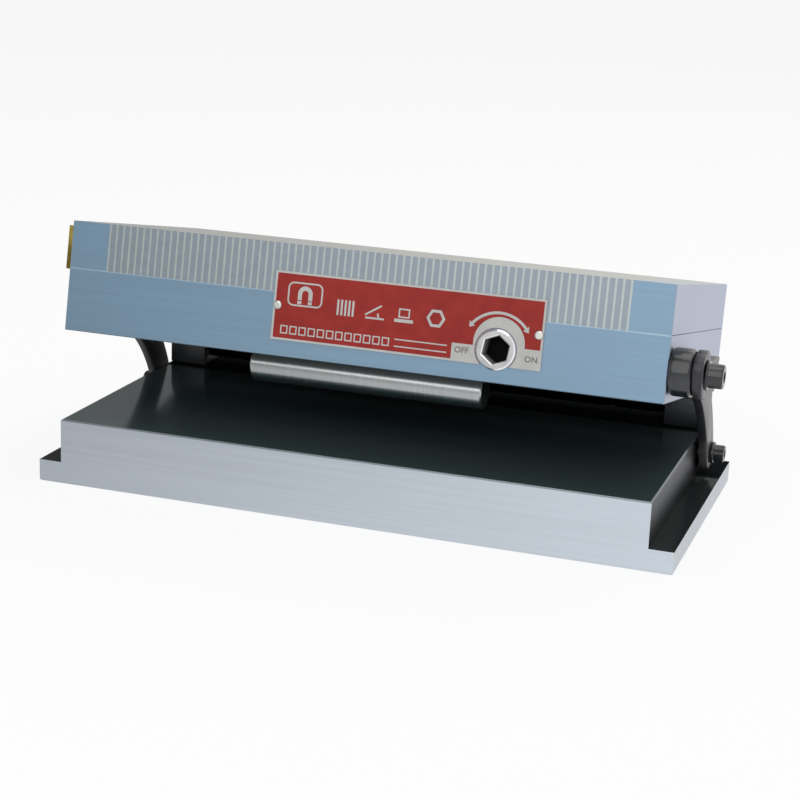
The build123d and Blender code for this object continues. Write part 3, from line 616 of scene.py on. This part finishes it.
def boxFrame(x, h, width, height, line):
    return [boxPoints(x, h, width, height), boxPoints(x + line, h + line, width - 2 * line, height - 2 * line)]


def roundBox(x, h, width, height, corner):
    middles = ((x + width - corner, h + height - corner, 0), (x + corner, h + height - corner, 90),
               (x + corner, h + corner, 180), (x + width - corner, h + corner, 270))
    return [point for cx, ch, turn in middles for point in arcPoints((cx, ch), corner, turn, turn + 90, 6)]


def slantBar(x, h, length, width, angle):
    run, rise = cos(radians(angle)), sin(radians(angle))
    farX, farH = x + length * run, h + length * rise
    return [(x, h), (farX, farH), (farX - width * rise, farH + width * run), (x - width * rise, h + width * run)]


plate = {"left": -47.75, "right": 107.25, "bottom": 9.3, "top": 47.7, "thick": 0.8, "margin": 0.02, "border": 1.2,
         "print": 0.06, "lift": 0.01, "wordLift": 0.04, "wordBolder": 0.09}
printS = -plate["thick"] - plate["lift"]


def settle(name, data, s, finish):
    maker = bpy.data.objects.new(name + "Maker", data)
    scene.collection.objects.link(maker)
    bpy.context.view_layer.update()
    mesh = bpy.data.meshes.new_from_object(maker.evaluated_get(bpy.context.evaluated_depsgraph_get()))
    bpy.data.objects.remove(maker)
    bm = bmesh.new()
    bm.from_mesh(mesh)
    bpy.data.meshes.remove(mesh)
    bmesh.ops.remove_doubles(bm, verts=bm.verts, dist=weld)
    bmesh.ops.transform(bm, matrix=chuckMatrix(s), verts=bm.verts)
    return addPiece(name, bm, finish, "chuck")


def flatShape(name, outlines, thick, s, finish):
    # closed outlines in x and h, filled, given a thickness, and set on the front of the plate
    curve = bpy.data.curves.new(name, "CURVE")
    curve.dimensions = "2D"
    curve.fill_mode = "BOTH"
    curve.extrude = thick / 2
    for outline in outlines:
        line = curve.splines.new("POLY")
        line.points.add(len(outline) - 1)
        for point, (x, h) in zip(line.points, outline):
            point.co = (x, h, 0, 1)
        line.use_cyclic_u = True
    return settle(name, curve, s, finish)


def lettering(name, word, x, h, size, s):
    text = bpy.data.curves.new(name, "FONT")
    text.body = word
    text.size = size
    text.align_x, text.align_y = "CENTER", "CENTER"
    text.offset_x, text.offset_y = x, h
    text.extrude = plate["print"] / 2
    text.offset = plate["wordBolder"]
    return settle(name, text, s, "grey")


bib = {"halfWidth": 14.3, "archH": 21.5, "archX": 83.1, "leftEnd": 57.0, "leftTop": 19.2, "rightTop": 20.3,
       "proud": 1.2, "archSteps": 40, "ringSteps": 56}


def plateBorder():
    left, right = plate["left"] + plate["margin"], plate["right"] - plate["margin"]
    bottom, top = plate["bottom"] + plate["margin"], plate["top"] - plate["margin"]
    w = plate["border"]
    band = [(bib["leftEnd"], bottom), (left, bottom), (left, top), (right, top), (right, bib["rightTop"]),
            (right - w, bib["rightTop"]), (right - w, top - w), (left + w, top - w), (left + w, bottom + w),
            (bib["leftEnd"], bottom + w)]
    return flatShape("plateBorder", [band], plate["print"], printS, "white")


def keyBib():
    # the white ground round the key: an arch over the ring and a shoulder at each side
    bottom = plate["bottom"] + plate["margin"]
    right = plate["right"] - plate["margin"]
    edge = key["notch"]
    drop = key["h"] - bottom
    low = degrees(atan2(-drop, (edge * edge - drop * drop) ** 0.5))
    outline = [(bib["leftEnd"], bottom), (bib["leftEnd"], bib["leftTop"]),
               (bib["archX"] - bib["halfWidth"], bib["leftTop"])]
    outline += arcPoints((bib["archX"], bib["archH"]), bib["halfWidth"], 180, 0, bib["archSteps"])
    outline += [(bib["archX"] + bib["halfWidth"], bib["rightTop"]), (right, bib["rightTop"]), (right, bottom)]
    outline += arcPoints((key["x"], key["h"]), edge, low, 180 - low, bib["ringSteps"])
    return flatShape("keyBib", [outline], plate["print"] * bib["proud"], printS, "white")


arrow = {"x": 82.3, "h": 18.4, "inner": 18.8, "outer": 20.3, "spread": 50.0, "headLength": 8.0, "headWidth": 1.3,
         "steps": 40}


def turnArrow():
    # an arc over the key with a head at each end
    centre = (arrow["x"], arrow["h"])
    start, end = 90 - arrow["spread"], 90 + arrow["spread"]
    middle = (arrow["inner"] + arrow["outer"]) / 2
    wide, narrow = arrow["outer"] + arrow["headWidth"], arrow["inner"] - arrow["headWidth"]
    endHead = [(wide, end), (middle, end + arrow["headLength"]), (narrow, end)]
    startHead = [(narrow, start), (middle, start - arrow["headLength"]), (wide, start)]
    outline = arcPoints(centre, arrow["outer"], start, end, arrow["steps"])
    outline += [arcPoints(centre, radius, angle, angle, 1)[0] for radius, angle in endHead]
    outline += arcPoints(centre, arrow["inner"], end, start, arrow["steps"])
    outline += [arcPoints(centre, radius, angle, angle, 1)[0] for radius, angle in startHead]
    return flatShape("turnArrow", [outline], plate["print"], printS, "white")


magnetSign = {"x": -39.8, "h": 28.9, "width": 20.6, "height": 13.4, "corner": 3.4, "line": 0.9, "outer": 4.3,
              "inner": 1.9, "rise": 0.4, "leg": 3.6, "tip": 1.7, "gap": 0.5, "outerSteps": 20, "innerSteps": 16}


def magnetMarks():
    # a horseshoe magnet in a round-cornered frame
    sign = magnetSign
    x, h, w, t, line = sign["x"], sign["h"], sign["width"], sign["height"], sign["line"]
    outer, inner = sign["outer"], sign["inner"]
    marks = [roundBox(x, h, w, t, sign["corner"]),
             roundBox(x + line, h + line, w - 2 * line, t - 2 * line, sign["corner"] - line)]
    middle = (x + w / 2, h + t / 2 + sign["rise"])
    foot = middle[1] - sign["leg"]
    marks.append([(middle[0] + outer, foot)] + arcPoints(middle, outer, 0, 180, sign["outerSteps"])
                 + [(middle[0] - outer, foot), (middle[0] - inner, foot)]
                 + arcPoints(middle, inner, 180, 0, sign["innerSteps"]) + [(middle[0] + inner, foot)])
    for start in (-outer, inner):
        marks.append(boxPoints(middle[0] + start, foot - sign["gap"] - sign["tip"], outer - inner, sign["tip"]))
    return marks


useSigns = {"centres": [-5.0, 11.9, 28.6, 46.7], "h": 31.0, "half": 5.4, "line": 1.0, "drop": 4.32,
            "bars": 5, "barPitch": 2.2, "barWidth": 1.2, "barHeight": 8.64,
            "tilt": 32.0, "tiltLift": 1.6, "arc": 8.1, "arcFrom": 6, "arcTo": 26, "arcSteps": 8,
            "table": 1.8, "blockLift": 2.5, "blockWidth": 6.48, "blockHeight": 5.13, "blockLine": 0.8,
            "hexLine": 1.7}


def useMarks():
    # four plain signs: laminated face, tilt, block on the face, hex key
    sign = useSigns
    face, tilted, block, hexKey = sign["centres"]
    h, half, line = sign["h"], sign["half"], sign["line"]
    low = h - sign["drop"]
    corner = (tilted - half, low)
    start, end, steps = sign["arcFrom"], sign["arcTo"], sign["arcSteps"]
    marks = [boxPoints(face - half + i * sign["barPitch"], low, sign["barWidth"], sign["barHeight"])
             for i in range(sign["bars"])]
    marks.append(boxPoints(*corner, 2 * half, line))
    marks.append(slantBar(corner[0], low + sign["tiltLift"], 2 * half, line, sign["tilt"]))
    marks.append(arcPoints(corner, sign["arc"], start, end, steps)
                 + arcPoints(corner, sign["arc"] - line, end, start, steps))
    marks.append(boxPoints(block - half, low, 2 * half, sign["table"]))
    width = sign["blockWidth"]
    marks += boxFrame(block - width / 2, low + sign["blockLift"], width, sign["blockHeight"], sign["blockLine"])
    marks += [arcPoints((hexKey, h), radius, 0, 360, 6)[:6] for radius in (half, half - sign["hexLine"])]
    return marks


numberRow = {"x": -42.4, "h": 13.0, "count": 12, "pitch": 5.42, "width": 4.3, "height": 4.7, "line": 0.7,
             "rules": [13.1, 16.9], "ruleStart": 24.4, "ruleEnd": 54.4}


def numberMarks():
    # blank boxes for a stamped number and two rules beside them
    row = numberRow
    marks = []
    for i in range(row["count"]):
        marks += boxFrame(row["x"] + i * row["pitch"], row["h"], row["width"], row["height"], row["line"])
    marks += [boxPoints(row["ruleStart"], h, row["ruleEnd"] - row["ruleStart"], row["line"]) for h in row["rules"]]
    return marks


plateBorder()
keyBib()
turnArrow()
flatShape("plateSigns", magnetMarks() + useMarks() + numberMarks(), plate["print"], printS, "white")
switchWords = [{"name": "offWord", "word": "OFF", "x": 62.7, "h": 15.6, "size": 4.6},
               {"name": "onWord", "word": "ON", "x": 101.6, "h": 14.8, "size": 4.6}]
for word in switchWords:
    lettering(word["name"], word["word"], word["x"], word["h"], word["size"], printS - plate["wordLift"])
print("name plate print done")

camera = {"focal": 1952.156, "width": 800, "azimuth": radians(18.059), "elevation": radians(15.769),
          "roll": radians(2.343), "place": (0.3485, -1.0578, 0.3651), "sensor": 36.0, "reach": 60.0}


def photoCamera():
    az, el, roll = camera["azimuth"], camera["elevation"], camera["roll"]
    back = Vector((sin(az) * cos(el), -cos(az) * cos(el), sin(el)))
    right = (-back).cross(Vector((0, 0, 1))).normalized()
    up = right.cross(-back)
    right, up = right * cos(roll) + up * sin(roll), up * cos(roll) - right * sin(roll)
    lens = bpy.data.cameras.new("photoCamera")
    lens.sensor_width = camera["sensor"]
    lens.lens = camera["focal"] / camera["width"] * camera["sensor"]
    lens.clip_end = camera["reach"]
    seen = bpy.data.objects.new("photoCamera", lens)
    seen.matrix_world = Matrix.Translation(camera["place"]) @ Matrix((right, up, back)).transposed().to_4x4()
    scene.collection.objects.link(seen)
    scene.camera = seen


photoCamera()

floor = {"size": 24.0, "tone": (0.90, 0.90, 0.90), "rough": 0.9, "glow": 0.84, "seen": (1.0, 1.0, 1.0),
         "dimmest": (0.55, 0.55, 0.55), "brightest": (1.2, 1.2, 1.2), "from": -0.4, "to": 0.3, "backFrom": 0.3,
         "backTo": 0.8}


def paleFloor():
    # white to the camera, keeps the shadow, and glows for metal to mirror as a painted reflection, dimmer at the
    # front left and brighter behind
    bm = bmesh.new()
    bmesh.ops.create_grid(bm, x_segments=1, y_segments=1, size=floor["size"] / 2)
    mesh = bpy.data.meshes.new("paleFloor")
    bm.to_mesh(mesh)
    bm.free()
    ground = bpy.data.objects.new("paleFloor", mesh)
    scene.collection.objects.link(ground)
    pale = Finish("paleFloor", color=floor["tone"], rough=floor["rough"])
    # painted reflection: the glow that metal mirrors is graded, dimmer at the front left and brighter behind
    across = pale.fade(pale.along((1, 0, 0)), floor["from"], floor["to"])
    behind = pale.fade(pale.along((0, 1, 0)), floor["backFrom"], floor["backTo"])
    paintedReflection = pale.blend(across + behind, floor["dimmest"], floor["brightest"])
    mirrored = pale.add("ShaderNodeLightPath", {}, {}, "Is Glossy Ray")
    glow = pale.add("ShaderNodeEmission", {}, {"Color": pale.blend(mirrored, floor["seen"], paintedReflection)})
    both = pale.add("ShaderNodeMixShader", {}, {0: pale.rays() * floor["glow"], 1: pale.skin, 2: glow})
    pale.feed(pale.out.inputs[0], both)
    mesh.materials.append(pale.material)


paleFloor()

sky = {"left": (0.24, 0.24, 0.24), "right": (1.0, 1.0, 1.0), "from": -0.62, "to": 0.1, "farFrom": -0.98,
       "farTo": -0.72, "strength": 0.72}


def studioLight():
    # soft light all round, dimmer from the left, and white to the camera
    world = bpy.data.worlds.new("studio")
    scene.world = world
    world.use_nodes = True
    studio = Nodes(world.node_tree, "ShaderNodeOutputWorld")
    across = studio.dot(studio.add("ShaderNodeTexCoord", {}, {}, "Generated"), (1, 0, 0))
    seen = studio.add("ShaderNodeLightPath", {}, {}, "Is Camera Ray")
    near = studio.fade(across, sky["from"], sky["to"])
    far = studio.fade(across, sky["farFrom"], sky["farTo"], 1.0, 0.0)
    tone = studio.blend(studio.fade(near + far + seen, 0.0, 1.0), sky["left"], sky["right"])
    strength = sky["strength"] + studio.rays() * (1 - sky["strength"])
    light = studio.add("ShaderNodeBackground", {}, {"Color": tone, "Strength": strength})
    studio.feed(studio.out.inputs[0], light)


lampAim = (0, 0, 0.07)
lamps = [
    {"name": "keyLamp", "place": (-0.2, -1.5, 1.2), "size": 1.9, "power": 12.5},
    {"name": "topLamp", "place": (0.3, 0.1, 1.9), "size": 1.4, "power": 8.0},
    {"name": "rearLamp", "place": (0.6, 1.4, 1.5), "size": 1.4, "power": 5.0},
]


def softLamp(lamp):
    light = bpy.data.lights.new(lamp["name"], "AREA")
    light.energy = lamp["power"]
    light.shape = "DISK"
    light.size = lamp["size"]
    box = bpy.data.objects.new(lamp["name"], light)
    aim = Vector(lampAim) - Vector(lamp["place"])
    box.matrix_world = Matrix.Translation(lamp["place"]) @ aim.to_track_quat("-Z", "Y").to_matrix().to_4x4()
    scene.collection.objects.link(box)


studioLight()
for lamp in lamps:
    softLamp(lamp)
scene.view_settings.view_transform = "Standard"
print("camera, floor and light set")
